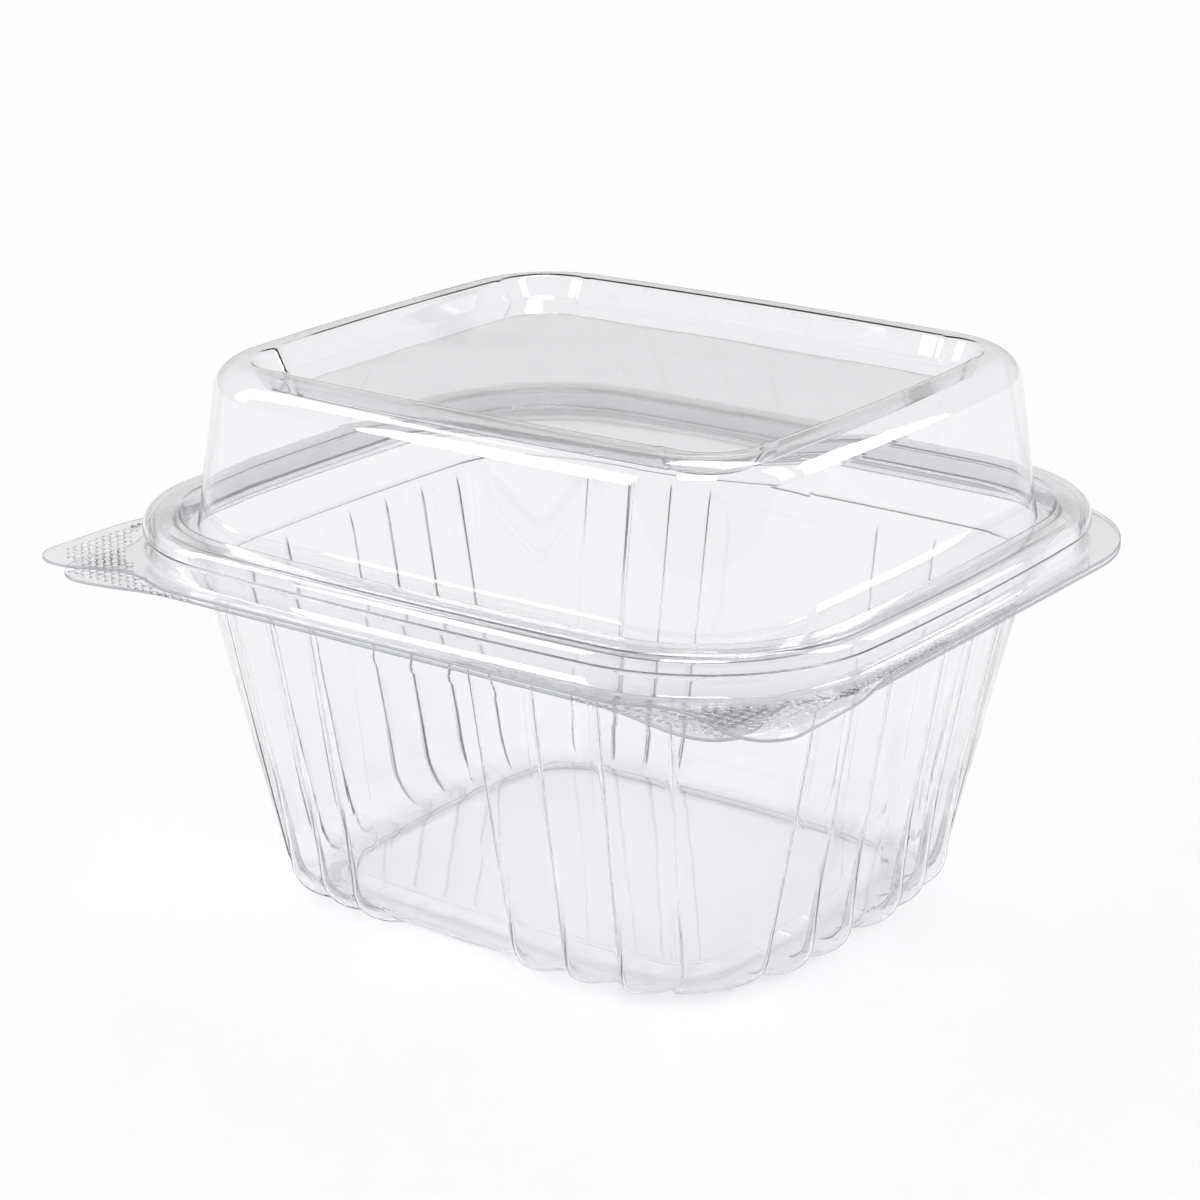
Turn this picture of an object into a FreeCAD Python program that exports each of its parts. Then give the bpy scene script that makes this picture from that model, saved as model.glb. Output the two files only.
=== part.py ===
import FreeCAD, Part
import math
import os

# Clear hinged clamshell pack, vacuum formed from one sheet of PET. All sizes in millimetres.
# +X runs along the front side, the front faces -Y, the hinge is at +Y and the pack stands on z = 0.

# Sheet and closing gaps
SHEET = 0.45
FLANGE_GAP = 0.45
RIM_GAP = 0.35

# Height of the underside of the tray flange, and of the lid's crest above the top of that flange
TRAY_HEIGHT = 62.0
DOME_HEIGHT = 34.3

# Outline at the foot of the dome, from which every part of the rim is offset
FOOT_HALF_WIDTH = 63.0
FOOT_HALF_DEPTH = 56.0
FOOT_CORNER = 23.8
FOOT_BOW = 0.85

# Flat flange round both halves, and how far the swept rim reaches into it
FLANGE_HALF_WIDTH = 75.0
FLANGE_HALF_DEPTH = 68.0
FLANGE_CORNER = 30.0
FLANGE_SHARE = 1.5

# Lid rim: offsets outwards from the dome foot, heights above the tray flange
GROOVE_FLOOR_IN = 0.5
GROOVE_FLOOR_OUT = 2.1
GROOVE_FLOOR_Z = 4.6
LAND_IN = 3.5
LAND_Z = 7.8
BEAD_OUT = 9.9
BEAD_ROUND = 2.1
BEAD_UNDER_Z = 4.7
WAIST_OUT = 9.15
WAIST_Z = 4.0
SKIRT_OUT = 9.7

# Tray rim: round of its top edge, spread of its outer wall, foot of its inner wall, ledge over the flutes
RIM_ROUND = 1.4
RIM_SPREAD = 0.4
RIM_FOOT = 1.1
LEDGE_DROP = 3.6
LEDGE_OFFSET = -0.4
LEDGE_LIP = 0.35

# Dome: slope of its wall, shoulder radius, and the panel sunk in its top
DOME_DRAFT = 0.145
SHOULDER_ROUND = 5.2
PANEL_HALF_WIDTH = 49.8
PANEL_HALF_DEPTH = 42.6
PANEL_CORNER = 7.0
PANEL_BOW = 1.2
PANEL_DEPTH = 4.0
PANEL_SLOPE = 2.2

# Tray walls carried straight down to the table, and the round that joins them to the floor
BASE_HALF_WIDTH = 53.0
BASE_HALF_DEPTH = 47.2
BASE_CORNER = 19.5
BASE_BOW = 3.0
BASE_ROUND = 8.5

# Flutes: how far they stand out, the floor and flanks of a valley, their run-out, their least depth
FLUTE_DEPTH = 1.8
VALLEY_WIDTH = 1.2
FLANK_WIDTH = 0.55
FLUTE_RUN_OUT = 5.0
FLUTE_FADE = 0.15

# Groups of flutes on the front and back: start and end along X at the flange, the same at the table, count
FRONT_FLUTES = (
    (-44.5, -16.5, -40.2, -16.7, 3),
    (8.2, 46.4, 10.7, 40.7, 3),
)
# Groups of flutes on the two ends, along Y from the front to the hinge
END_FLUTES = (
    (-30.5, -8.0, -27.0, -6.2, 2),
    (-0.8, 30.5, 0.2, 28.0, 3),
)

# Raised floor panel
FLOOR_HALF_WIDTH = 41.0
FLOOR_HALF_DEPTH = 35.0
FLOOR_CORNER = 10.0
FLOOR_BOW = 1.5
FLOOR_RISE = 2.2
FLOOR_SLOPE = 1.6

# Lifting tabs at the front corners: the lid's reach sideways, the tray's reach forwards
TAB_START = 44.0
LID_TAB_NOTCH_X = 57.0
LID_TAB_NOTCH = 3.4
LID_TAB_REACH = 0.5
LID_TAB_SIDE = 2.3
LID_TAB_ROUND = 6.6
LID_TAB_BACK_Y = -48.0
LID_TAB_END_Y = -31.0
TRAY_TAB_REACH = 3.0
TRAY_TAB_TIP_X = 62.8
TRAY_TAB_ROUND = 7.0
TRAY_TAB_NOTCH_Y = -54.0
TRAY_TAB_NOTCH = 6.9
TRAY_TAB_END_Y = -36.0

# Fineness: steps of the round at the table, chords of a corner pillar, and length of chord on a rim round
ROUND_STEPS = 4
PILLAR_CHORDS = 6
ROUND_CHORD = 2.6

# The origin is the middle of the footprint, and the tray's tabs reach further than its back edge.
FOOTPRINT_SHIFT = TRAY_TAB_REACH / 2

FLANGE_TOP = TRAY_HEIGHT + SHEET
LEDGE_FOOT_Z = FLANGE_TOP - LEDGE_DROP - SHEET
LID_FLANGE_BOTTOM = FLANGE_TOP + FLANGE_GAP
LID_FLANGE_TOP = LID_FLANGE_BOTTOM + SHEET


def vec(x, y, z=0.0):
    return FreeCAD.Vector(x, y, z)


class Outline:
    """Rounded rectangle of eight tangent arcs: four bowed sides and four corners."""

    def __init__(self, half_width, half_depth, corner, bow):
        front_radius = (half_width - corner) ** 2 / (2 * bow)
        end_radius = (half_depth - corner) ** 2 / (2 * bow)
        front_centre = half_depth - front_radius
        end_centre = half_width - end_radius
        reach_front = front_radius - corner
        reach_end = end_radius - corner
        # The corner centre lies reach_front from (0, front_centre) and reach_end from (end_centre, 0).
        span = math.hypot(end_centre, front_centre)
        along = (reach_front ** 2 - reach_end ** 2 + span ** 2) / (2 * span)
        across = math.sqrt(reach_front ** 2 - along ** 2)
        ux = end_centre / span
        uy = -front_centre / span
        cx = along * ux - across * uy
        cy = front_centre + along * uy + across * ux
        if cx < 0 or cy < 0:
            cx = along * ux + across * uy
            cy = front_centre + along * uy - across * ux
        end_turn = math.degrees(math.atan2(cy, cx - end_centre))
        front_turn = math.degrees(math.atan2(cx, cy - front_centre))
        corner_turn = 90 - end_turn - front_turn
        self.arcs = []
        for quarter in range(4):
            sx = (1, -1, -1, 1)[quarter]
            sy = (1, 1, -1, -1)[quarter]
            start = quarter * 90 + (end_turn, front_turn)[quarter % 2]
            self.arcs.append((sx * cx, sy * cy, corner, start, corner_turn))
        for quarter in range(4):
            turn = (end_turn, front_turn)[quarter % 2]
            radius = (end_radius, front_radius)[quarter % 2]
            centre = ((end_centre, 0), (0, front_centre), (-end_centre, 0), (0, -front_centre))[quarter]
            self.arcs.append((centre[0], centre[1], radius, quarter * 90 - turn, 2 * turn))

        self.half_sides = (
            (end_centre, end_radius, end_turn, cy, cx),
            (front_centre, front_radius, front_turn, cx, cy),
        )
        self.corner = corner

    def point(self, quarter, run, offset, z):
        """Point of the offset outline at a distance along the side that faces +X, +Y, -X or -Y."""
        centre, radius, turn, corner_run, corner_out = self.half_sides[quarter % 2]
        radius += offset
        if abs(run) <= radius * math.sin(math.radians(turn)):
            out = centre + math.sqrt(radius ** 2 - run ** 2)
        else:
            out = corner_out + math.sqrt((self.corner + offset) ** 2 - (abs(run) - corner_run) ** 2)
        facing = math.radians(90 * quarter)
        x = out * math.cos(facing) - run * math.sin(facing)
        y = out * math.sin(facing) + run * math.cos(facing)
        return vec(x, y, z)

    def corner_points(self, quarter, first, last, offset, chords):
        """Points on the corner that follows a side, between its first and its last point."""
        cx, cy, radius, _, _ = self.arcs[quarter]
        start = math.atan2(first.y - cy, first.x - cx)
        turn = (math.atan2(last.y - cy, last.x - cx) - start) % (2 * math.pi)
        reach = radius + offset
        points = []
        for i in range(1, chords):
            angle = start + turn * i / chords
            points.append(vec(cx + reach * math.cos(angle), cy + reach * math.sin(angle), first.z))
        return points

    def wire(self, offset, z):
        edges = []
        for cx, cy, radius, start, turn in self.arcs:
            edges.append(arc_about(vec(cx, cy, z), radius + offset, start, start + turn))
        return Part.Wire(Part.__sortEdges__(edges))

    def sweep(self, section):
        """Turn a section, drawn as (offset, z) edges, about each arc's own centre."""
        pieces = []
        for cx, cy, radius, start, turn in self.arcs:
            face = section.copy()
            face.translate(vec(cx + radius, cy))
            face.rotate(vec(cx, cy), vec(0, 0, 1), start)
            pieces.append(face.revolve(vec(cx, cy), vec(0, 0, 1), turn))
        return pieces


def arc_about(centre, radius, start, end):
    points = []
    for angle in (start, (start + end) / 2, end):
        a = math.radians(angle)
        points.append(centre + vec(radius * math.cos(a), radius * math.sin(a)))
    return Part.Arc(*points).toShape()


def rounded_path(path):
    """Points of a section's surface, with each (offset, z, radius) corner rounded off in chords."""
    corners = [vec(offset, 0, z) for offset, z, _ in path]
    points = [corners[0]]
    for before, corner, after, (_, _, radius) in zip(corners, corners[1:], corners[2:], path[1:]):
        back = (before - corner).normalize()
        ahead = (after - corner).normalize()
        half = back.getAngle(ahead) / 2
        if radius == 0:
            points.append(corner)
            continue
        centre = corner + (back + ahead).normalize() * (radius / math.sin(half))
        first = corner + back * (radius / math.tan(half)) - centre
        last = corner + ahead * (radius / math.tan(half)) - centre
        turn = math.pi - 2 * half
        chords = max(1, round(radius * turn / ROUND_CHORD))
        for i in range(chords + 1):
            share = i / chords
            spoke = first * math.sin((1 - share) * turn) + last * math.sin(share * turn)
            points.append(centre + spoke * (1 / math.sin(turn)))
    return points + [corners[-1]]


def sheet_section(path):
    """Face between a section's surface and its parallel one sheet to the right of its run."""
    points = rounded_path(path)
    runs = [(end - start).normalize() for start, end in zip(points, points[1:])]
    normals = [vec(run.z, 0, -run.x) for run in runs]
    inner = []
    for point, first, second in zip(points, normals[:1] + normals, normals + normals[-1:]):
        mitre = first + second
        inner.append(point + mitre * (2 * SHEET / mitre.dot(mitre)))
    return Part.Face(Part.makePolygon(points + inner[::-1] + points[:1]))


def loft(*wires):
    return Part.makeLoft(list(wires), True, True)


def fuse_all(shapes):
    return shapes[0].multiFuse(shapes[1:]).removeSplitter()


# Flange plates and tabs

def s_curve(start, end, along_x):
    """Two equal arcs between parallel tangents, along X or along Y."""
    middle = (start + end) * 0.5
    run = end - start
    long_run, side = (run.x, run.y) if along_x else (run.y, run.x)
    radius = (long_run ** 2 + side ** 2) / (4 * abs(side))
    quarter = math.asin(abs(long_run) / 2 / radius) / 2
    drop = radius * (1 - math.cos(quarter)) * math.copysign(1, side)
    reach = radius * math.sin(quarter) * math.copysign(1, long_run)
    step = vec(reach, drop) if along_x else vec(drop, reach)
    return [Part.Arc(start, start + step, middle).toShape(), Part.Arc(middle, end - step, end).toShape()]


def quarter_round(start, end, centre):
    middle = centre + ((start + end) * 0.5 - centre).normalize() * (start - centre).Length
    return Part.Arc(start, middle, end).toShape()


def flange_back(first):
    """Right-hand edge of the flange from the tab's end to the middle of the hinge."""
    corner = FLANGE_CORNER
    side_end = vec(FLANGE_HALF_WIDTH, FLANGE_HALF_DEPTH - corner)
    back_start = vec(FLANGE_HALF_WIDTH - corner, FLANGE_HALF_DEPTH)
    centre = vec(FLANGE_HALF_WIDTH - corner, FLANGE_HALF_DEPTH - corner)
    return [
        Part.LineSegment(first, side_end).toShape(),
        quarter_round(side_end, back_start, centre),
        Part.LineSegment(back_start, vec(0, FLANGE_HALF_DEPTH)).toShape(),
    ]


def plate(edges, z):
    """Flat sheet inside the outline that the edges of the right-hand half make with their mirror image."""
    half = Part.Wire(Part.__sortEdges__(edges))
    closing = Part.LineSegment(vec(0, -FLANGE_HALF_DEPTH), vec(0, FLANGE_HALF_DEPTH)).toShape()
    face = Part.Face(Part.Wire(Part.__sortEdges__(half.Edges + [closing])))
    right = face.extrude(vec(0, 0, SHEET))
    left = right.mirror(vec(0, 0), vec(1, 0, 0))
    both = right.fuse(left).removeSplitter()
    both.translate(vec(0, 0, z))
    return both


def lid_plate():
    front = -FLANGE_HALF_DEPTH
    start = vec(TAB_START, front)
    notch = vec(LID_TAB_NOTCH_X, front + LID_TAB_NOTCH)
    side_x = FLANGE_HALF_WIDTH + LID_TAB_SIDE
    reach = front - LID_TAB_REACH
    tip_centre = vec(side_x - LID_TAB_ROUND, reach + LID_TAB_ROUND)
    tip_start = vec(tip_centre.x, reach)
    tip_end = vec(side_x, tip_centre.y)
    side_back = vec(side_x, LID_TAB_BACK_Y)
    side_end = vec(FLANGE_HALF_WIDTH, LID_TAB_END_Y)
    edges = [Part.LineSegment(vec(0, front), start).toShape()]
    edges += s_curve(start, notch, True)
    edges += s_curve(notch, tip_start, True)
    edges.append(quarter_round(tip_start, tip_end, tip_centre))
    edges.append(Part.LineSegment(tip_end, side_back).toShape())
    edges += s_curve(side_back, side_end, False)
    edges += flange_back(side_end)
    return plate(edges, LID_FLANGE_BOTTOM)


def tray_plate():
    front = -FLANGE_HALF_DEPTH
    start = vec(TAB_START, front)
    reach = front - TRAY_TAB_REACH
    tip_start = vec(TRAY_TAB_TIP_X, reach)
    tip_centre = vec(TRAY_TAB_TIP_X, reach + TRAY_TAB_ROUND)
    tip_end = vec(TRAY_TAB_TIP_X + TRAY_TAB_ROUND, tip_centre.y)
    notch = vec(FLANGE_HALF_WIDTH - TRAY_TAB_NOTCH, TRAY_TAB_NOTCH_Y)
    side_end = vec(FLANGE_HALF_WIDTH, TRAY_TAB_END_Y)
    edges = [Part.LineSegment(vec(0, front), start).toShape()]
    edges += s_curve(start, tip_start, True)
    edges.append(quarter_round(tip_start, tip_end, tip_centre))
    edges += s_curve(tip_end, notch, False)
    edges += s_curve(notch, side_end, False)
    edges += flange_back(side_end)
    return plate(edges, TRAY_HEIGHT)


# Lid

def lid_path():
    """Upper surface of the lid from its crest over the shoulder, groove and bead to the flange."""
    up = FLANGE_TOP
    crest_z = up + DOME_HEIGHT
    shoulder = -(DOME_HEIGHT - LAND_Z) * DOME_DRAFT
    return [
        (shoulder - SHOULDER_ROUND, crest_z, 0),
        (shoulder, crest_z, SHOULDER_ROUND),
        (0.0, up + LAND_Z, 0),
        (GROOVE_FLOOR_IN, up + GROOVE_FLOOR_Z, 0),
        (GROOVE_FLOOR_OUT, up + GROOVE_FLOOR_Z, 0),
        (LAND_IN, up + LAND_Z, 0),
        (BEAD_OUT, up + LAND_Z, BEAD_ROUND),
        (BEAD_OUT, up + BEAD_UNDER_Z, 0),
        (WAIST_OUT, up + WAIST_Z, 0),
        (SKIRT_OUT, LID_FLANGE_TOP, 0),
        (SKIRT_OUT + FLANGE_SHARE, LID_FLANGE_TOP, 0),
    ]


def foot_outline():
    return Outline(FOOT_HALF_WIDTH, FOOT_HALF_DEPTH, FOOT_CORNER, FOOT_BOW)


def flange_ring(flange, rim, z):
    """Flange plate with the rim's opening, which the swept rim overlaps by a part of its own flange."""
    opening = Part.Face(rim.wire(SKIRT_OUT + FLANGE_SHARE / 2, z - SHEET)).extrude(vec(0, 0, 3 * SHEET))
    return flange.cut(opening)


def sunk_panel(crest_z):
    """Block and pocket whose difference is the sloping wall and floor of the panel sunk in the lid's top."""
    floor = Outline(PANEL_HALF_WIDTH, PANEL_HALF_DEPTH, PANEL_CORNER, PANEL_BOW)
    floor_z = crest_z - PANEL_DEPTH
    slope = PANEL_SLOPE / PANEL_DEPTH
    above = crest_z + SHEET
    pocket = loft(floor.wire(0, floor_z), floor.wire(slope * (above - floor_z), above))
    wall = SHEET * math.hypot(1, slope)
    under = crest_z - SHEET / 2
    block = loft(
        floor.wire(wall - slope * SHEET, floor_z - SHEET),
        floor.wire(wall + slope * (under - floor_z), under),
    )
    return block, pocket


def lid():
    rim = foot_outline()
    path = lid_path()
    crest_in, crest_z, _ = path[0]
    crest = Part.Face(rim.wire(crest_in, crest_z - SHEET)).extrude(vec(0, 0, SHEET))
    block, pocket = sunk_panel(crest_z)
    crest = crest.fuse(block).cut(pocket)
    flange = flange_ring(lid_plate(), rim, LID_FLANGE_BOTTOM)
    return fuse_all(rim.sweep(sheet_section(path)) + [crest, flange])


# Tray

def tray_path():
    """Upper surface of the tray from the ledge above the flutes over the rim to the flange."""
    up = FLANGE_TOP
    ledge_z = up - LEDGE_DROP
    top = up + LAND_Z - SHEET - RIM_GAP
    inner = LAND_IN + SHEET + RIM_GAP
    outer = WAIST_OUT - SHEET - RIM_GAP
    return [
        (LEDGE_OFFSET - SHEET - LEDGE_LIP, ledge_z, 0),
        (RIM_FOOT, ledge_z, 0),
        (inner, top, 0),
        (outer, top, RIM_ROUND),
        (outer + RIM_SPREAD, up, 0),
        (SKIRT_OUT + FLANGE_SHARE, up, 0),
    ]


def wall_at(z):
    """Outline of the flute faces at a height: straight from the base outline to the ledge."""
    share = z / LEDGE_FOOT_Z
    pairs = (
        (BASE_HALF_WIDTH, FOOT_HALF_WIDTH + LEDGE_OFFSET),
        (BASE_HALF_DEPTH, FOOT_HALF_DEPTH + LEDGE_OFFSET),
        (BASE_CORNER, FOOT_CORNER + LEDGE_OFFSET),
        (BASE_BOW, FOOT_BOW),
    )
    return Outline(*[low + (high - low) * share for low, high in pairs])


def valleys_at(groups, z):
    """Start and end of every valley of one side at a height; the plain panel between groups is one."""
    share = 1 - z / TRAY_HEIGHT
    half = VALLEY_WIDTH / 2
    valleys = []
    for start_top, end_top, start_foot, end_foot, count in groups:
        start = start_top + (start_foot - start_top) * share
        end = end_top + (end_foot - end_top) * share
        marks = [start + (end - start) * i / count for i in range(count + 1)]
        group = [[mark - half, mark + half] for mark in marks]
        if valleys:
            valleys[-1][1] = group.pop(0)[1]
        valleys += group
    return valleys


def mirrored(groups):
    return tuple((-b, -a, -d, -c, n) for a, b, c, d, n in reversed(groups))


def fluted_wire(z, offset, depth, inset, gather=0.0):
    """Outline of the wall with its flutes.

    The inset moves the flanks back for the inner surface, and gather is the distance by which
    the round at the table has drawn the outline in, so that the flutes follow it.
    """
    outline = wall_at(z)
    flank = FLANK_WIDTH * depth / FLUTE_DEPTH
    grow = inset * (math.hypot(flank, depth) - flank) / depth
    sides = (END_FLUTES, mirrored(FRONT_FLUTES), mirrored(END_FLUTES), FRONT_FLUTES)
    runs = []
    for quarter, groups in enumerate(sides):
        shrink = 1 + gather / (BASE_HALF_DEPTH, BASE_HALF_WIDTH)[quarter % 2]
        run = []
        for low, high in valleys_at(groups, z):
            low = low * shrink - grow
            high = high * shrink + grow
            run.append(outline.point(quarter, low - flank, offset, z))
            run.append(outline.point(quarter, low, offset - depth, z))
            run.append(outline.point(quarter, high, offset - depth, z))
            run.append(outline.point(quarter, high + flank, offset, z))
        runs.append(run)
    points = []
    for quarter, run in enumerate(runs):
        ahead = runs[(quarter + 1) % 4][0]
        points += run + outline.corner_points(quarter, run[-1], ahead, offset, PILLAR_CHORDS)
    return Part.makePolygon(points + points[:1])


def fluted_solid(inset):
    """Solid whose surface is the tray wall with its flutes and corner pillars, moved in by an inset."""
    lean = (FOOT_HALF_WIDTH + LEDGE_OFFSET - BASE_HALF_WIDTH) / LEDGE_FOOT_Z
    tilt = math.atan(lean)
    centre = BASE_ROUND * (lean * (1 - math.sin(tilt)) - math.cos(tilt))
    radius = BASE_ROUND - inset
    spare = FLUTE_DEPTH - FLUTE_FADE
    wires = []
    for i in range(ROUND_STEPS + 1):
        share = i / ROUND_STEPS
        angle = math.pi / 2 + (tilt - math.pi / 2) * share
        z = BASE_ROUND - radius * math.sin(angle)
        offset = centre + radius * math.cos(angle) - lean * z
        gather = centre + BASE_ROUND * (math.cos(angle) - lean * (1 - math.sin(angle)))
        # The flutes keep most of their depth into the round, so their feet bulge like scallops.
        depth = FLUTE_FADE + spare * math.sqrt(math.sin(share * math.pi / 2))
        wires.append(fluted_wire(z, offset, depth, inset, gather))
    wall = -inset / math.cos(tilt)
    wires.append(fluted_wire(LEDGE_FOOT_Z - FLUTE_RUN_OUT, wall, FLUTE_DEPTH, inset))
    wires.append(fluted_wire(LEDGE_FOOT_Z, wall, FLUTE_FADE, inset))
    return loft(*wires)


def floor_block(inset):
    """Frustum under the raised floor panel, grown by an inset for the sheet above it."""
    floor = Outline(FLOOR_HALF_WIDTH, FLOOR_HALF_DEPTH, FLOOR_CORNER, FLOOR_BOW)
    slope = FLOOR_SLOPE / FLOOR_RISE
    grow = inset * math.hypot(1, slope)
    low = -FLOOR_RISE
    high = FLOOR_RISE + inset
    return loft(floor.wire(grow - slope * low, low), floor.wire(grow - slope * high, high))


def tray():
    rim = foot_outline()
    outside = fluted_solid(0.0).cut(floor_block(0.0))
    inside = fluted_solid(SHEET).cut(floor_block(SHEET))
    flange = flange_ring(tray_plate(), rim, TRAY_HEIGHT)
    return fuse_all(rim.sweep(sheet_section(tray_path())) + [outside.cut(inside), flange])


def export(name, shape):
    shape.translate(vec(0, FOOTPRINT_SHIFT))
    box = shape.BoundBox
    print(name, "valid", shape.isValid(), "solids", len(shape.Solids), "volume %.0f" % shape.Volume)
    print("  size %.2f %.2f %.2f" % (box.XLength, box.YLength, box.ZLength))
    shape.exportStep("parts/" + name + ".step")


if __name__ == "__main__":
    os.makedirs("parts", exist_ok=True)
    export("lid", lid())
    export("tray", tray())
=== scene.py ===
import logging
import math
from dataclasses import dataclass, field
from enum import Enum

import bpy
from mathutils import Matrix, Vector


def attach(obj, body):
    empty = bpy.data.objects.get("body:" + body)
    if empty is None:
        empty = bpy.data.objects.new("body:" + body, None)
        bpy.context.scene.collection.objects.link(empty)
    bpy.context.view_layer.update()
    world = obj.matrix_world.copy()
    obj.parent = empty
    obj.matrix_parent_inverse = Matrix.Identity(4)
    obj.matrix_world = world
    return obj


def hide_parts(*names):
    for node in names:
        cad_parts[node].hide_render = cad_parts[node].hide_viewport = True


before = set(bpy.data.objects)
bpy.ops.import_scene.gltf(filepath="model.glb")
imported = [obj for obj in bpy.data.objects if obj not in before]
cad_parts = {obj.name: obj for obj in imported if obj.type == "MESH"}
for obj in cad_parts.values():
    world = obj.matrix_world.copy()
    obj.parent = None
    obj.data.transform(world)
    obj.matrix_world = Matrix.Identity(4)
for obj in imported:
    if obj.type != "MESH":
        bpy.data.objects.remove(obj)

LOG = logging.getLogger("clamshell")
MM = 0.001

# Sizes of the pack are in millimetres until a mesh is made; the studio and the camera are in metres.
SHEET = 0.45
FLANGE_TOP = 62.45
LID_FLANGE_TOP = 63.35
FOOTPRINT_SHIFT = 1.5

# Stands in for zero where lines may be parallel.
TINY = 1e-9

Point = tuple[float, float]
Row = list[tuple[float, float, float]]
# Corners of a section through the sheet: distance out from an outline, height, radius of the round.
Section = list[tuple[float, float, float]]


class Half(Enum):
    """The two halves of the sheet, by the name of their node and body."""

    TRAY = "tray"
    LID = "lid"


def srgb(code: str) -> tuple[float, float, float, float]:
    """Linear colour of a screen hex code.

    Args:
        code: Six hex digits, with or without a leading hash.

    Returns:
        Linear red, green, blue and an alpha of one.
    """
    code = code.lstrip("#")
    parts = [int(code[i:i + 2], 16) / 255 for i in (0, 2, 4)]
    linear = [p / 12.92 if p <= 0.04045 else ((p + 0.055) / 1.055) ** 2.4 for p in parts]
    return (linear[0], linear[1], linear[2], 1.0)


def node(tree: bpy.types.NodeTree, kind: str, inputs: dict | None = None,
         **settings: object) -> bpy.types.Node:
    """Add a shader or geometry node.

    Args:
        tree: Node tree that receives it.
        kind: Blender's node type name.
        inputs: Socket name or index to a value, or to another node's output socket.
        settings: Attributes of the node itself.

    Returns:
        The new node.
    """
    made = tree.nodes.new(kind)
    for name, value in settings.items():
        setattr(made, name, value)
    for key, value in (inputs or {}).items():
        if isinstance(value, bpy.types.NodeSocket):
            tree.links.new(value, made.inputs[key])
        else:
            made.inputs[key].default_value = value
    return made


def empty_tree(owner: bpy.types.Material | bpy.types.World) -> bpy.types.NodeTree:
    """Node tree of a new material or world, with nothing in it.

    Args:
        owner: The material or world.

    Returns:
        Its node tree.
    """
    owner.use_nodes = True
    owner.node_tree.nodes.clear()
    return owner.node_tree


def add_object(name: str, data: bpy.types.ID) -> bpy.types.Object:
    """Put a mesh, a light or a camera into the scene.

    Args:
        name: Name of its object.
        data: The mesh, light or camera.

    Returns:
        The object.
    """
    thing = bpy.data.objects.new(name, data)
    bpy.context.collection.objects.link(thing)
    return thing


def point_at(thing: bpy.types.Object, place: tuple, target: tuple) -> None:
    """Place a light or a camera and turn it to a target."""
    thing.location = place
    thing.rotation_euler = (Vector(target) - Vector(place)).to_track_quat("-Z", "Y").to_euler()


def smooth(share: float) -> float:
    """Ease a share from 0 to 1 with level ends."""
    share = min(1.0, max(0.0, share))
    return share * share * (3 - 2 * share)


def blend_rows(first: Row, last: Row, share: float = 0.5) -> Row:
    """Row of points between two rows.

    Args:
        first: Row at a share of 0.
        last: Row at a share of 1.
        share: How far to go, halfway as a rule.

    Returns:
        The row between.
    """
    return [tuple(a + (b - a) * share for a, b in zip(p, q)) for p, q in zip(first, last)]


def rounded_path(path: Section, chord: float) -> list[Point]:
    """Points of a section whose corners are rounded off.

    Args:
        path: Corners of the section in order.
        chord: Longest chord on a round.

    Returns:
        Offsets and heights along the section.
    """
    corners = [Vector((offset, z)) for offset, z, _ in path]
    points = [tuple(corners[0])]
    for before, corner, after, (_, _, radius) in zip(corners, corners[1:], corners[2:], path[1:]):
        back = (before - corner).normalized()
        ahead = (after - corner).normalized()
        half = back.angle(ahead) / 2
        centre = corner + (back + ahead).normalized() * (radius / math.sin(half))
        first = corner + back * (radius / math.tan(half)) - centre
        last = corner + ahead * (radius / math.tan(half)) - centre
        turn = math.pi - 2 * half
        steps = max(2, round(radius * turn / chord))
        for i in range(steps + 1):
            share = i / steps
            spoke = first * math.sin((1 - share) * turn) + last * math.sin(share * turn)
            points.append(tuple(centre + spoke / math.sin(turn)))
    return points + [tuple(corners[-1])]


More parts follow.
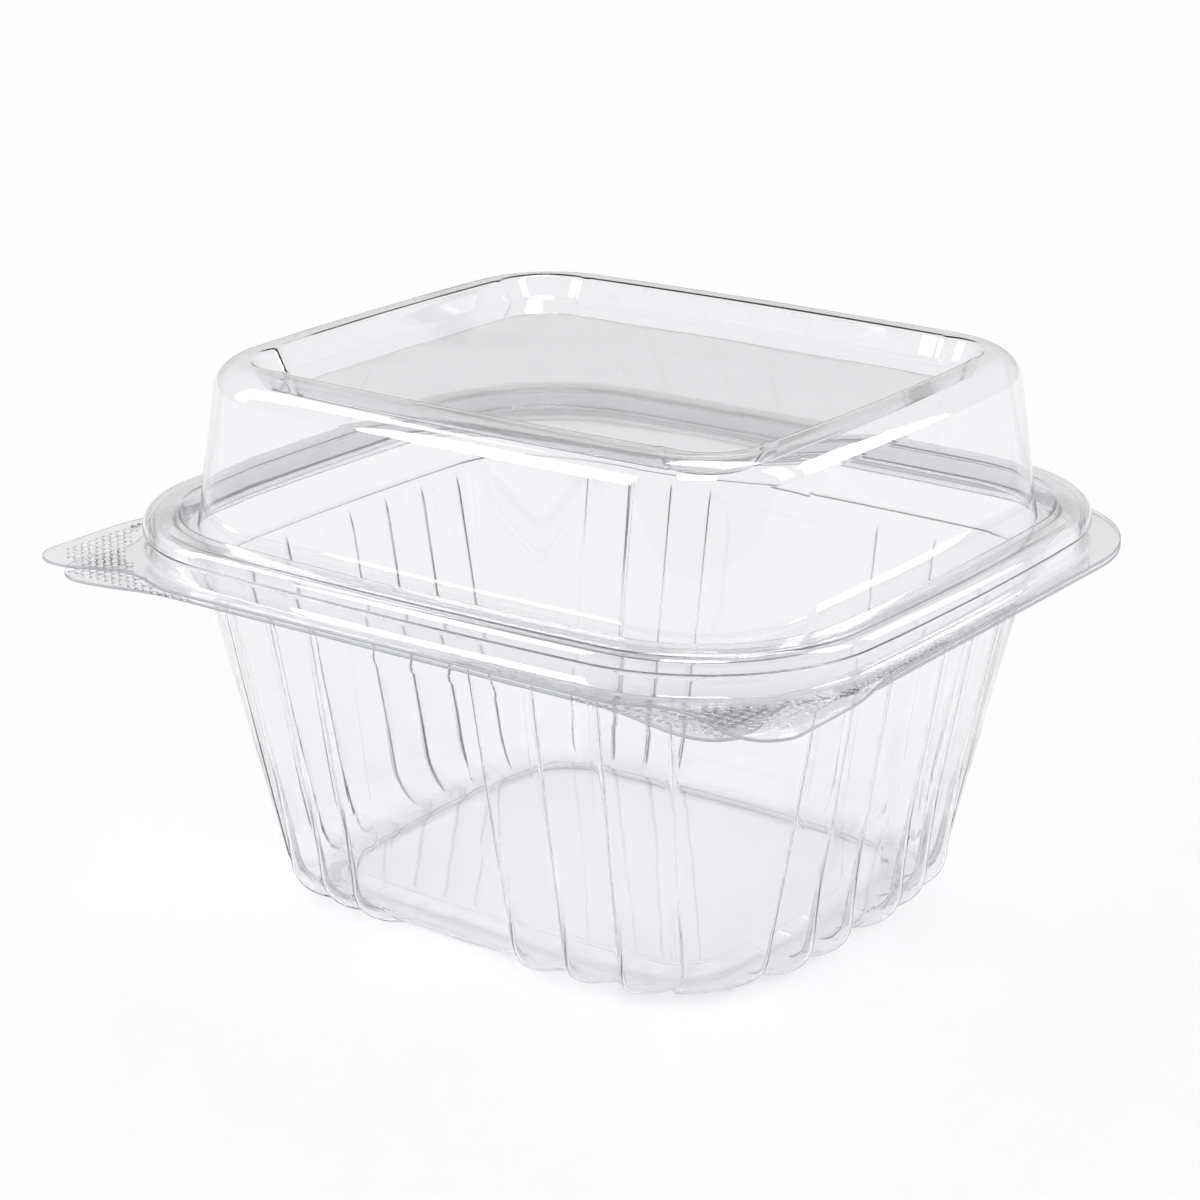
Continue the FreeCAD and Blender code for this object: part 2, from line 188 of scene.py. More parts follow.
@dataclass
class Outline:
    """Rounded rectangle of four bowed sides and four corners, seen from above."""

    half_width: float
    half_depth: float
    corner: float
    bow: float
    sides: tuple = field(init=False)
    corners: list = field(init=False)

    def __post_init__(self) -> None:
        """Find the centres of the side and corner arcs."""
        front_radius = (self.half_width - self.corner) ** 2 / (2 * self.bow)
        end_radius = (self.half_depth - self.corner) ** 2 / (2 * self.bow)
        front_centre = self.half_depth - front_radius
        end_centre = self.half_width - end_radius
        span = math.hypot(end_centre, front_centre)
        along = ((front_radius - self.corner) ** 2 - (end_radius - self.corner) ** 2 + span ** 2) / (2 * span)
        across = math.sqrt((front_radius - self.corner) ** 2 - along ** 2)
        ux, uy = end_centre / span, -front_centre / span
        cx = along * ux - across * uy
        cy = front_centre + along * uy + across * ux
        if cx < 0 or cy < 0:
            cx = along * ux + across * uy
            cy = front_centre + along * uy - across * ux
        end_turn = math.atan2(cy, cx - end_centre)
        front_turn = math.atan2(cx, cy - front_centre)
        self.sides = (
            (end_centre, end_radius, end_turn, cy, cx),
            (front_centre, front_radius, front_turn, cx, cy),
        )
        self.corners = [(cx, cy), (-cx, cy), (-cx, -cy), (cx, -cy)]

    def point(self, quarter: int, run: float, offset: float) -> Point:
        """Point of the offset outline on the side that faces +X, +Y, -X or -Y.

        Args:
            quarter: Which side, 0 to 3.
            run: Distance along the side from its middle, anticlockwise.
            offset: Distance outwards from the outline.

        Returns:
            The point.
        """
        centre, radius, turn, corner_run, corner_out = self.sides[quarter % 2]
        radius += offset
        if abs(run) <= radius * math.sin(turn):
            out = centre + math.sqrt(radius ** 2 - run ** 2)
        else:
            out = corner_out + math.sqrt(max(0.0, (self.corner + offset) ** 2 - (abs(run) - corner_run) ** 2))
        cos, sin = ((1, 0), (0, 1), (-1, 0), (0, -1))[quarter]
        return (out * cos - run * sin, out * sin + run * cos)

    def corner_point(self, quarter: int, first: Point, last: Point, offset: float, share: float) -> Point:
        """Point on the corner that follows a side.

        Args:
            quarter: The side before the corner.
            first: Last point of the side before it.
            last: First point of the side after it.
            offset: Distance outwards from the outline.
            share: How far round the corner, 0 to 1.

        Returns:
            The point.
        """
        cx, cy = self.corners[quarter]
        start = math.atan2(first[1] - cy, first[0] - cx)
        turn = (math.atan2(last[1] - cy, last[0] - cx) - start) % (2 * math.pi)
        reach = self.corner + offset
        angle = start + turn * share
        return (cx + reach * math.cos(angle), cy + reach * math.sin(angle))


@dataclass(frozen=True)
class Column:
    """One line of mesh points from the flange's edge to the middle of the sheet.

    A column on a side says how far along it lies at the flange and at the table, and how much of
    a valley or of a flute's bulge it takes. One on a corner only says how far round it lies.
    """

    quarter: int
    top: float
    foot: float
    valley: float = 0.0
    lobe: float = 0.0
    turns: bool = False


@dataclass
class Ring:
    """All columns round the pack, able to give a row of points on any outline."""

    columns: list[Column]

    def row(self, outline: Outline, offset: float, z: float, share: float = 1.0, gather: float = 1.0,
            depth: float = 0.0, lobe: float = 0.0) -> Row:
        """One row of points.

        Args:
            outline: Outline that the row follows.
            offset: Distance outwards from it.
            z: Height of the row.
            share: Place of the row between the table, 0, and the flange, 1.
            gather: Factor on the distance along a side.
            depth: Depth of a valley between flutes.
            lobe: Bulge of a flute.

        Returns:
            The points, anticlockwise from the front end of the +X side.
        """
        flat: list[Point | None] = []
        for column in self.columns:
            if column.turns:
                flat.append(None)
                continue
            run = (column.foot + (column.top - column.foot) * share) * gather
            out = offset - depth * column.valley + lobe * column.lobe
            flat.append(outline.point(column.quarter, run, out))
        points: Row = []
        for i, column in enumerate(self.columns):
            here = flat[i]
            if here is None:
                before = max(j for j in range(i) if flat[j] is not None)
                after = next((j for j in range(i, len(flat)) if flat[j] is not None), 0)
                here = outline.corner_point(column.quarter, flat[before], flat[after], offset, column.top)
            points.append((here[0], here[1], z))
        return points

    def reach(self, row: Row, ahead: Row, edge: list[Point], z: float) -> Row:
        """Row on a plate's edge, straight ahead of the columns.

        Args:
            row: Points to start from.
            ahead: The same columns a step further out, which gives the direction.
            edge: Closed outline of the plate.
            z: Height of the row.

        Returns:
            The points on the edge.
        """
        points: Row = []
        for (x, y, _), (ax, ay, _) in zip(row, ahead):
            dx, dy = ax - x, ay - y
            best = math.inf
            for (px, py), (qx, qy) in zip(edge, edge[1:] + edge[:1]):
                ex, ey = qx - px, qy - py
                cross = dx * ey - dy * ex
                if abs(cross) < TINY:
                    continue
                along = ((px - x) * ey - (py - y) * ex) / cross
                across = ((px - x) * dy - (py - y) * dx) / cross
                if along > 0 and -TINY <= across <= 1 + TINY:
                    best = min(best, along)
            points.append((x + dx * best, y + dy * best, z))
        return points


@dataclass
class Plate:
    """Outline of a half's flat flange with its lifting tabs."""

    half_width: float = 75.0
    half_depth: float = 68.0
    corner: float = 30.0
    tab_start: float = 44.0
    steps: int = 16

    def swing(self, start: Point, end: Point, along_x: bool) -> list[Point]:
        """S-shaped run between parallel tangents.

        Args:
            start: First point.
            end: Last point.
            along_x: Whether the tangents run along X.

        Returns:
            Points after the first.
        """
        points = []
        for i in range(1, self.steps + 1):
            share = i / self.steps
            eased = (1 - math.cos(math.pi * share)) / 2
            over, up = (share, eased) if along_x else (eased, share)
            points.append((start[0] + (end[0] - start[0]) * over, start[1] + (end[1] - start[1]) * up))
        return points

    def quarter_round(self, centre: Point, radius: float, start: float) -> list[Point]:
        """Quarter circle, anticlockwise.

        Args:
            centre: Its centre.
            radius: Its radius.
            start: Its first angle in degrees.

        Returns:
            Its points.
        """
        points = []
        for i in range(self.steps + 1):
            angle = math.radians(start + 90 * i / self.steps)
            points.append((centre[0] + radius * math.cos(angle), centre[1] + radius * math.sin(angle)))
        return points

    def tab(self) -> list[Point]:
        """Right-hand lifting tab, from the front edge to the side; each half has its own."""
        raise NotImplementedError

    def edge(self) -> list[Point]:
        """Closed outline of the plate.

        Returns:
            Its points, anticlockwise from the middle of the front.
        """
        right = [(0.0, -self.half_depth), (self.tab_start, -self.half_depth)] + self.tab()
        centre = (self.half_width - self.corner, self.half_depth - self.corner)
        right += self.quarter_round(centre, self.corner, 0)
        right.append((0.0, self.half_depth))
        left = [(-x, y) for x, y in reversed(right[1:-1])]
        return right + left


@dataclass
class LidPlate(Plate):
    """Flange of the lid, whose tab reaches sideways."""

    # Notch in the front edge, tip of the tab past the plate's front and side, way back to the side.
    notch_x: float = 57.0
    notch: float = 3.4
    reach: float = 0.5
    side: float = 2.3
    tip_round: float = 6.6
    back_y: float = -48.0
    end_y: float = -31.0

    def tab(self) -> list[Point]:
        """Right-hand lifting tab of the lid.

        Returns:
            Its points, from the front edge to the side.
        """
        front = -self.half_depth
        side_x = self.half_width + self.side
        centre = (side_x - self.tip_round, front - self.reach + self.tip_round)
        points = self.swing((self.tab_start, front), (self.notch_x, front + self.notch), True)
        points += self.swing(points[-1], (centre[0], front - self.reach), True)
        points += self.quarter_round(centre, self.tip_round, -90)
        points += self.swing((side_x, self.back_y), (self.half_width, self.end_y), False)
        return points


@dataclass
class TrayPlate(Plate):
    """Flange of the tray, whose tab reaches forwards."""

    # Tip of the tab past the plate's front, notch in from its side, way back to the side.
    reach: float = 3.0
    tip_x: float = 62.8
    tip_round: float = 7.0
    notch: float = 6.9
    notch_y: float = -54.0
    end_y: float = -36.0

    def tab(self) -> list[Point]:
        """Right-hand lifting tab of the tray.

        Returns:
            Its points, from the front edge to the side.
        """
        front = -self.half_depth
        centre = (self.tip_x, front - self.reach + self.tip_round)
        points = self.swing((self.tab_start, front), (self.tip_x, front - self.reach), True)
        points += self.quarter_round(centre, self.tip_round, -90)
        notch = (self.half_width - self.notch, self.notch_y)
        points += self.swing((centre[0] + self.tip_round, centre[1]), notch, False)
        points += self.swing(notch, (self.half_width, self.end_y), False)
        return points


@dataclass
class FormedHalf:
    """One half of the formed sheet: rows of points skinned and given the sheet's thickness."""

    half: Half
    foot: Outline = field(default_factory=lambda: Outline(63.0, 56.0, 23.8, 0.85))
    skirt: float = 9.7
    # Flat run before the first round of a section, second point that aims the flange's rows, and
    # flat run after the last round.
    lead: float = 0.9
    aim: float = 1.9
    inset: float = 2.0
    edge_strip: float = 0.12
    fine_chord: float = 0.35
    centre_rows: tuple[float, ...] = (0.8, 0.55, 0.3)
    front_corner_columns: int = 56
    back_corner_columns: int = 26

    def corner_columns(self, quarter: int) -> list[Column]:
        """Columns round the corner after a side, closer together at the tabs."""
        count = self.front_corner_columns if quarter in (2, 3) else self.back_corner_columns
        return [Column(quarter, i / (count + 1), 0.0, turns=True) for i in range(1, count + 1)]

    def flange_rows(self, ring: Ring, plate: Plate, z: float) -> list[Row]:
        """Rows from the plate's edge to the skirt.

        Args:
            ring: Columns round the pack.
            plate: The flange's plate.
            z: Height of its upper face.

        Returns:
            The rows, from the edge inwards.
        """
        near = ring.row(self.foot, self.skirt + self.lead, z)
        ahead = ring.row(self.foot, self.skirt + self.aim, z)
        edge = ring.reach(near, ahead, plate.edge(), z)
        inner = []
        for (x, y, _), (ex, ey, _) in zip(near, edge):
            length = max(TINY, math.hypot(ex - x, ey - y))
            share = max(0.0, 1 - self.edge_strip / length)
            inner.append((x + (ex - x) * share, y + (ey - y) * share, z))
        return [edge, inner, blend_rows(inner, near)]

    def path_rows(self, ring: Ring, outline: Outline, path: Section) -> list[Row]:
        """Rows along a section that follows an outline.

        Args:
            ring: Columns round the pack.
            outline: Outline that the offsets start from.
            path: Section to follow.

        Returns:
            The rows in the order of the path.
        """
        return [ring.row(outline, offset, z) for offset, z in rounded_path(path, self.fine_chord)]

    def skin(self, rows: list[Row], finish: bpy.types.Material, cut: bpy.types.Material) -> bpy.types.Object:
        """Join the rows to a mesh, close its middle and thicken it.

        Args:
            rows: Rows from the flange's edge to the innermost ring.
            finish: Material of the sheet.
            cut: Material of its trimmed edge.

        Returns:
            The finished piece.
        """
        count = len(rows[0])
        points = [(x * MM, (y + FOOTPRINT_SHIFT) * MM, z * MM) for row in rows for x, y, z in row]
        last = rows[-1]
        for share in self.centre_rows:
            points += [(x * share * MM, (y * share + FOOTPRINT_SHIFT) * MM, z * MM) for x, y, z in last]
        total = len(rows) + len(self.centre_rows)
        middle = len(points)
        points.append((0.0, FOOTPRINT_SHIFT * MM, last[0][2] * MM))
        faces = []
        for i in range(total - 1):
            for j in range(count):
                k = (j + 1) % count
                faces.append((i * count + j, i * count + k, (i + 1) * count + k, (i + 1) * count + j))
        low = (total - 1) * count
        faces += [(low + j, low + (j + 1) % count, middle) for j in range(count)]
        mesh = bpy.data.meshes.new(self.half.value + "_sheet")
        mesh.from_pydata(points, [], faces)
        mesh.shade_smooth()
        mesh.materials.append(finish)
        mesh.materials.append(cut)
        piece = add_object(self.half.value + "_sheet", mesh)
        wall = piece.modifiers.new("sheet_thickness", "SOLIDIFY")
        wall.thickness = SHEET * MM
        wall.offset = -1
        wall.use_even_offset = True
        wall.use_quality_normals = True
        wall.material_offset_rim = 1
        return piece

    def place(self, piece: bpy.types.Object) -> None:
        """Stand the piece in for its node and let it ride on its body.

        Args:
            piece: The finished half.
        """
        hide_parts(self.half.value)
        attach(piece, self.half.value)


@dataclass
class Lid(FormedHalf):
    """Raised dome with a sunk top panel and a rim that clips over the tray's."""

    half: Half = Half.LID
    # Heights over the table and over the tray's flange, distances out from the foot of the dome.
    crest: float = 96.75
    land: float = 7.8
    groove_z: float = 4.6
    groove_in: float = 0.5
    groove_out: float = 2.1
    groove_round: float = 0.55
    land_in: float = 3.5
    land_round: float = 0.8
    bead_out: float = 9.9
    bead_round: float = 2.1
    bead_under: float = 4.7
    under_round: float = 0.5
    waist_out: float = 9.15
    waist_z: float = 4.0
    waist_round: float = 0.6
    skirt_round: float = 0.7
    dome_foot_round: float = 1.2
    # The dome leans in by its draft for each millimetre of its height.
    draft: float = 0.145
    shoulder_round: float = 5.2
    shoulder_run: float = 5.0
    panel: Outline = field(default_factory=lambda: Outline(49.8, 42.6, 7.0, 1.2))
    panel_depth: float = 4.0
    panel_slope: float = 2.2
    panel_round: float = 1.0
    # How finely the mesh is drawn.
    side_columns: int = 22
    front_corner_columns: int = 60

    def ring(self) -> Ring:
        """Columns of the lid.

        Returns:
            Columns that are even along the sides and close round the tabs.
        """
        columns = []
        spans = (self.foot.sides[0][3], self.foot.sides[1][3])
        for quarter in range(4):
            span = spans[quarter % 2]
            for i in range(self.side_columns + 1):
                run = -span + 2 * span * i / self.side_columns
                columns.append(Column(quarter, run, run))
            columns += self.corner_columns(quarter)
        return Ring(columns)

    def build(self, finish: bpy.types.Material, cut: bpy.types.Material) -> bpy.types.Object:
        """Build the lid.

        Args:
            finish: Material of the sheet.
            cut: Material of its trimmed edge.

        Returns:
            The finished piece.
        """
        ring = self.ring()
        up = FLANGE_TOP
        shoulder = -(self.crest - up - self.land) * self.draft
        rows = self.flange_rows(ring, LidPlate(), LID_FLANGE_TOP)
        rows += self.path_rows(ring, self.foot, [
            (self.skirt + self.lead, LID_FLANGE_TOP, 0),
            (self.skirt, LID_FLANGE_TOP, self.skirt_round),
            (self.waist_out, up + self.waist_z, self.waist_round),
            (self.bead_out, up + self.bead_under, self.under_round),
            (self.bead_out, up + self.land, self.bead_round),
            (self.land_in, up + self.land, self.land_round),
            (self.groove_out, up + self.groove_z, self.groove_round),
            (self.groove_in, up + self.groove_z, self.groove_round),
            (0.0, up + self.land, self.dome_foot_round),
            (shoulder, self.crest, self.shoulder_round),
            (shoulder - self.shoulder_run, self.crest, 0),
        ])
        panel_rows = self.path_rows(ring, self.panel, [
            (self.panel_slope + self.lead, self.crest, 0),
            (self.panel_slope, self.crest, self.panel_round),
            (0.0, self.crest - self.panel_depth, self.panel_round),
            (-self.inset, self.crest - self.panel_depth, 0),
        ])
        rows.append(blend_rows(rows[-1], panel_rows[0]))
        rows += panel_rows
        return self.skin(rows, finish, cut)


@dataclass
class Tray(FormedHalf):
    """Fluted tray with a raised floor and a rim under the lid's."""

    half: Half = Half.TRAY
    base: Outline = field(default_factory=lambda: Outline(53.0, 47.2, 19.5, 3.0))
    base_round: float = 8.5
    # Ledge over the flutes and rim, as distances out from the foot of the dome.
    ledge_drop: float = 3.6
    ledge_offset: float = -0.4
    ledge_round: float = 0.8
    rim_foot: float = 1.1
    rim_inner: float = 4.3
    rim_inner_round: float = 1.2
    rim_outer: float = 8.35
    rim_top: float = 7.0
    rim_round: float = 1.4
    rim_spread: float = 0.4
    skirt_round: float = 0.6
    wall_round: float = 0.6
    # First row of the wall, in and down from the ledge's edge, and the drops of the others.
    wall_start: Point = (0.1, 0.65)
    drops: tuple[float, ...] = (
        0.9, 1.6, 2.4, 3.2, 4.0, 4.8, 5.6, 10.0, 15.0, 20.0, 25.0, 30.0, 35.0, 40.0, 44.0, 48.0,
    )
    # The valleys between flutes start shallow under the ledge and deepen towards the table.
    flute_depth: float = 0.65
    flute_depth_foot: float = 1.35
    flute_fade: float = 0.12
    fade_start: float = 0.6
    run_out: float = 5.0
    foot_start: float = 30.0
    foot_depth_run: float = 22.0
    foot_lobe_run: float = 28.0
    gather_reach: float = 50.0
    # Bulge of a flute between two valleys, which makes the scallops of the foot.
    lobe_top: float = 0.4
    lobe_foot: float = 2.3
    lobe_power: float = 0.7
    valley_width: float = 0.3
    panel_least: float = 4.0
    flank_width: float = 1.0
    flank_width_foot: float = 1.7
    # Groups of flutes: start and end at the flange, start and end at the table, number.
    front_groups: tuple = ((-44.5, -16.5, -40.2, -16.7, 3), (8.2, 46.4, 10.7, 40.7, 3))
    end_groups: tuple = ((-30.5, -8.0, -27.0, -6.2, 2), (-0.8, 30.5, 0.2, 28.0, 3))
    floor: Outline = field(default_factory=lambda: Outline(41.0, 35.0, 10.0, 1.5))
    floor_rise: float = 2.2
    floor_slope: float = 1.6
    floor_lead: float = 1.4
    floor_edge_round: float = 1.0
    floor_chord: float = 0.4
    floor_gather: float = 0.84
    # How finely the mesh is drawn.
    flank_steps: int = 4
    lobe_steps: int = 5
    panel_steps: int = 9
    valley_steps: int = 2
    round_steps: int = 12

    @staticmethod
    def mirrored(groups: tuple) -> tuple:
        """Groups of flutes in the order of the opposite side."""
        return tuple((-b, -a, -d, -c, n) for a, b, c, d, n in reversed(groups))

    def valleys(self, groups: tuple) -> list[tuple[float, float, float, float]]:
        """Valleys of one side; the plain panel between two groups is one wide valley.

        Args:
            groups: Groups of flutes on the side.

        Returns:
            Low and high edge of each valley at the flange, and the same at the table.
        """
        half = self.valley_width / 2
        found: list[tuple[float, float, float, float]] = []
        for start_top, end_top, start_foot, end_foot, count in groups:
            marks = []
            for i in range(count + 1):
                share = i / count
                top = start_top + (end_top - start_top) * share
                foot = start_foot + (end_foot - start_foot) * share
                marks.append((top - half, top + half, foot - half, foot + half))
            if found:
                low = found.pop()
                high = marks.pop(0)
                marks.insert(0, (low[0], high[1], low[2], high[3]))
            found += marks
        return found

    def side_columns(self, quarter: int, groups: tuple) -> list[Column]:
        """Columns of one side, close on the flanks of the valleys.

        Args:
            quarter: Which side.
            groups: Its groups of flutes.

        Returns:
            The columns.
        """
        columns: list[Column] = []
        flank = self.flank_width
        flank_foot = self.flank_width_foot
        previous = None
        for low, high, low_foot, high_foot in self.valleys(groups):
            if previous:
                start, start_foot = previous
                for i in range(1, self.lobe_steps + 1):
                    share = i / (self.lobe_steps + 1)
                    lobe = math.sin(math.pi * share) ** self.lobe_power
                    top = start + (low - flank - start) * share
                    foot = start_foot + (low_foot - flank_foot - start_foot) * share
                    columns.append(Column(quarter, top, foot, 0.0, lobe))
            for i in range(self.flank_steps + 1):
                share = i / self.flank_steps
                top = low - flank * (1 - share)
                foot = low_foot - flank_foot * (1 - share)
                columns.append(Column(quarter, top, foot, smooth(share)))
            steps = self.panel_steps if high - low > self.panel_least else self.valley_steps
            for i in range(1, steps):
                share = i / steps
                top = low + (high - low) * share
                foot = low_foot + (high_foot - low_foot) * share
                columns.append(Column(quarter, top, foot, 1.0))
            for i in range(self.flank_steps + 1):
                share = i / self.flank_steps
                top = high + flank * share
                foot = high_foot + flank_foot * share
                columns.append(Column(quarter, top, foot, smooth(1 - share)))
            previous = (high + flank, high_foot + flank_foot)
        return columns

    def ring(self) -> Ring:
        """Columns of the tray.

        Returns:
            Columns that are close on the flutes and round the tabs.
        """
        back = self.mirrored(self.front_groups)
        left = self.mirrored(self.end_groups)
        columns: list[Column] = []
        for quarter, groups in enumerate((self.end_groups, back, left, self.front_groups)):
            columns += self.side_columns(quarter, groups)
            columns += self.corner_columns(quarter)
        return Ring(columns)

    def wall_outline(self, share: float) -> Outline:
        """Outline of the wall at some height.

        Args:
            share: Share of the height, 0 at the table and 1 at the ledge.

        Returns:
            The outline there.
        """
        top = self.foot
        low = self.base
        return Outline(
            low.half_width + (top.half_width + self.ledge_offset - low.half_width) * share,
            low.half_depth + (top.half_depth + self.ledge_offset - low.half_depth) * share,
            low.corner + (top.corner + self.ledge_offset - low.corner) * share,
            low.bow + (top.bow - low.bow) * share,
        )

    def wall_rows(self, ring: Ring) -> list[Row]:
        """Rows of the fluted wall from the ledge to the table, on the inner face of the sheet.

        Args:
            ring: Columns of the tray.

        Returns:
            The rows.
        """
        ledge_z = FLANGE_TOP - self.ledge_drop
        lean = (self.foot.half_width + self.ledge_offset - self.base.half_width) / ledge_z
        tilt = math.atan(lean)
        inset = SHEET / math.cos(tilt)
        rows = []
        for drop in self.drops:
            z = ledge_z - drop
            run = smooth((drop - self.fade_start) / self.run_out)
            depth = self.flute_fade + (self.flute_depth - self.flute_fade) * run
            deeper = smooth((self.foot_start - z) / self.foot_depth_run)
            depth += (self.flute_depth_foot - self.flute_depth) * deeper
            lobe = self.lobe_top * run
            fuller = smooth((self.foot_start - z) / self.foot_lobe_run)
            lobe += (self.lobe_foot - self.lobe_top) * fuller
            rows.append(ring.row(self.wall_outline(z / ledge_z), -inset, z, z / ledge_z, 1.0, depth, lobe))
        centre = self.base_round * (lean * (1 - math.sin(tilt)) - math.cos(tilt))
        radius = self.base_round - SHEET
        for i in range(self.round_steps, -1, -1):
            share = i / self.round_steps
            angle = math.pi / 2 + (tilt - math.pi / 2) * share
            z = self.base_round - radius * math.sin(angle)
            offset = centre + radius * math.cos(angle) - lean * z
            under = centre + self.base_round * (math.cos(angle) - lean * (1 - math.sin(angle)))
            gather = 1 + under / self.gather_reach
            kept = math.sqrt(math.sin(share * math.pi / 2))
            depth = self.flute_fade + (self.flute_depth_foot - self.flute_fade) * kept
            lobe = self.lobe_foot * kept
            rows.append(ring.row(self.wall_outline(z / ledge_z), offset, z, z / ledge_z, gather, depth, lobe))
        return rows

    def floor_rows(self, ring: Ring) -> list[Row]:
        """Rows of the step round the raised floor panel.

        Args:
            ring: Columns of the tray.

        Returns:
            The rows, from the table inwards.
        """
        path = rounded_path([
            (self.floor_slope + self.floor_lead, SHEET, 0),
            (self.floor_slope, SHEET, self.floor_edge_round),
            (0.0, SHEET + self.floor_rise, self.floor_edge_round),
            (-self.inset, SHEET + self.floor_rise, 0),
        ], self.floor_chord)
        return [ring.row(self.floor, offset, z, 0.0, self.floor_gather) for offset, z in path]

    def build(self, finish: bpy.types.Material, cut: bpy.types.Material) -> bpy.types.Object:
        """Build the tray.

        Args:
            finish: Material of the sheet.
            cut: Material of its trimmed edge.

        Returns:
            The finished piece.
        """
        ring = self.ring()
        up = FLANGE_TOP
        ledge_z = up - self.ledge_drop
        rows = self.flange_rows(ring, TrayPlate(), up)
        rows += self.path_rows(ring, self.foot, [
            (self.skirt + self.lead, up, 0),
            (self.rim_outer + self.rim_spread, up, self.skirt_round),
            (self.rim_outer, up + self.rim_top, self.rim_round),
            (self.rim_inner, up + self.rim_top, self.rim_inner_round),
            (self.rim_foot, ledge_z, self.ledge_round),
            (self.ledge_offset - SHEET, ledge_z, self.wall_round),
            (self.ledge_offset - SHEET - self.wall_start[0], ledge_z - self.wall_start[1], 0),
        ])
        rows += self.wall_rows(ring)
        rows += self.floor_rows(ring)
        return self.skin(rows, finish, cut)


@dataclass
class Knurl:
    """Net of small raised cells that gives the lid's lifting tabs grip, with a row of dots along the side.

    The net fills the part of a quarter ring round the corner's centre that lies on the tab.
    The real one's cells are finer; these are as coarse as they need to be to show.
    """

    half: Half = Half.LID
    level: float = LID_FLANGE_TOP
    pitch: float = 1.75
    count: int = 22
    cell: float = 1.45
    height: float = 0.2
    cell_segments: int = 8
    cell_rings: int = 4
    clear: float = 0.01
    middle: Point = (57.0, -50.0)
    centre: Point = (39.4, -32.4)
    inner: float = 35.3
    outer: float = 45.5
    side_limit: float = 74.6
    front_limit: float = -66.2
    notch: Point = (56.0, -68.0)
    notch_clear: float = 6.6
    row_x: float = 74.0
    row_start: float = -45.0
    row_count: int = 20
    row_step: float = 1.6

    def tree(self, finish: bpy.types.Material) -> bpy.types.NodeTree:
        """Geometry nodes that lay the cells on one tab.

        Args:
            finish: Material of the cells.

        Returns:
            The node group, with its sizes as named inputs.
        """
        group = bpy.data.node_groups.new(self.half.value + "_knurl_net", "GeometryNodeTree")
        face = group.interface
        for name, value in (
            ("Side", 1.0),
            ("Pitch", self.pitch),
            ("Cell", self.cell),
            ("Height", self.height),
            ("Inner Radius", self.inner),
            ("Outer Radius", self.outer),
        ):
            socket = face.new_socket(name, in_out="INPUT", socket_type="NodeSocketFloat")
            socket.default_value = value
        face.new_socket("Geometry", in_out="OUTPUT", socket_type="NodeSocketGeometry")
        given = node(group, "NodeGroupInput").outputs
        # The net is a square grid over the tab.
        span = node(group, "ShaderNodeMath", {0: given["Pitch"], 1: self.count - 1.0}, operation="MULTIPLY")
        grid = node(group, "GeometryNodeMeshGrid", {
            "Size X": span.outputs[0],
            "Size Y": span.outputs[0],
            "Vertices X": self.count,
            "Vertices Y": self.count,
        })
        laid = node(group, "GeometryNodeTransform", {
            "Geometry": grid.outputs["Mesh"],
            "Translation": (*self.middle, 0.0),
        })
        # Points under the rim, past the tab's edge or near its notch are dropped.
        here = node(group, "GeometryNodeInputPosition").outputs[0]
        apart = node(group, "ShaderNodeSeparateXYZ", {0: here}).outputs
        reach = node(group, "ShaderNodeVectorMath", {0: here, 1: (*self.centre, 0.0)}, operation="DISTANCE")
        gap = node(group, "ShaderNodeVectorMath", {0: here, 1: (*self.notch, 0.0)}, operation="DISTANCE")
        off = 0.0
        for kind, found, limit in (
            ("LESS_THAN", reach.outputs["Value"], given["Inner Radius"]),
            ("GREATER_THAN", reach.outputs["Value"], given["Outer Radius"]),
            ("LESS_THAN", gap.outputs["Value"], self.notch_clear),
            ("GREATER_THAN", apart[0], self.side_limit),
            ("LESS_THAN", apart[1], self.front_limit),
            ("LESS_THAN", apart[0], self.centre[0]),
            ("GREATER_THAN", apart[1], self.centre[1]),
        ):
            outside = node(group, "ShaderNodeMath", {0: found, 1: limit}, operation=kind).outputs[0]
            off = node(group, "ShaderNodeMath", {0: off, 1: outside}, operation="MAXIMUM").outputs[0]
        kept = node(group, "GeometryNodeDeleteGeometry", {
            "Geometry": laid.outputs[0],
            "Selection": off,
        }, domain="POINT")
        dots = node(group, "GeometryNodeMeshLine", {
            "Count": self.row_count,
            "Start Location": (self.row_x, self.row_start, 0.0),
            "Offset": (0.0, self.row_step, 0.0),
        })
        joined = node(group, "GeometryNodeJoinGeometry")
        group.links.new(kept.outputs[0], joined.inputs[0])
        group.links.new(dots.outputs[0], joined.inputs[0])
        spots = node(group, "GeometryNodeMeshToPoints", {"Mesh": joined.outputs[0]})
        # One cell is a ball of a few faces, pressed flat.
        ball = node(group, "GeometryNodeMeshUVSphere", {
            "Segments": self.cell_segments,
            "Rings": self.cell_rings,
            "Radius": 0.5,
        })
        squash = node(group, "ShaderNodeCombineXYZ", {0: given["Cell"], 1: given["Cell"], 2: given["Height"]})
        shaped = node(group, "GeometryNodeTransform", {
            "Geometry": ball.outputs["Mesh"],
            "Scale": squash.outputs[0],
        })
        cells = node(group, "GeometryNodeInstanceOnPoints", {
            "Points": spots.outputs[0],
            "Instance": shaped.outputs[0],
        })
        made = node(group, "GeometryNodeRealizeInstances", {"Geometry": cells.outputs[0]})
        solid = node(group, "GeometryNodeSetShadeSmooth", {"Geometry": made.outputs[0]})
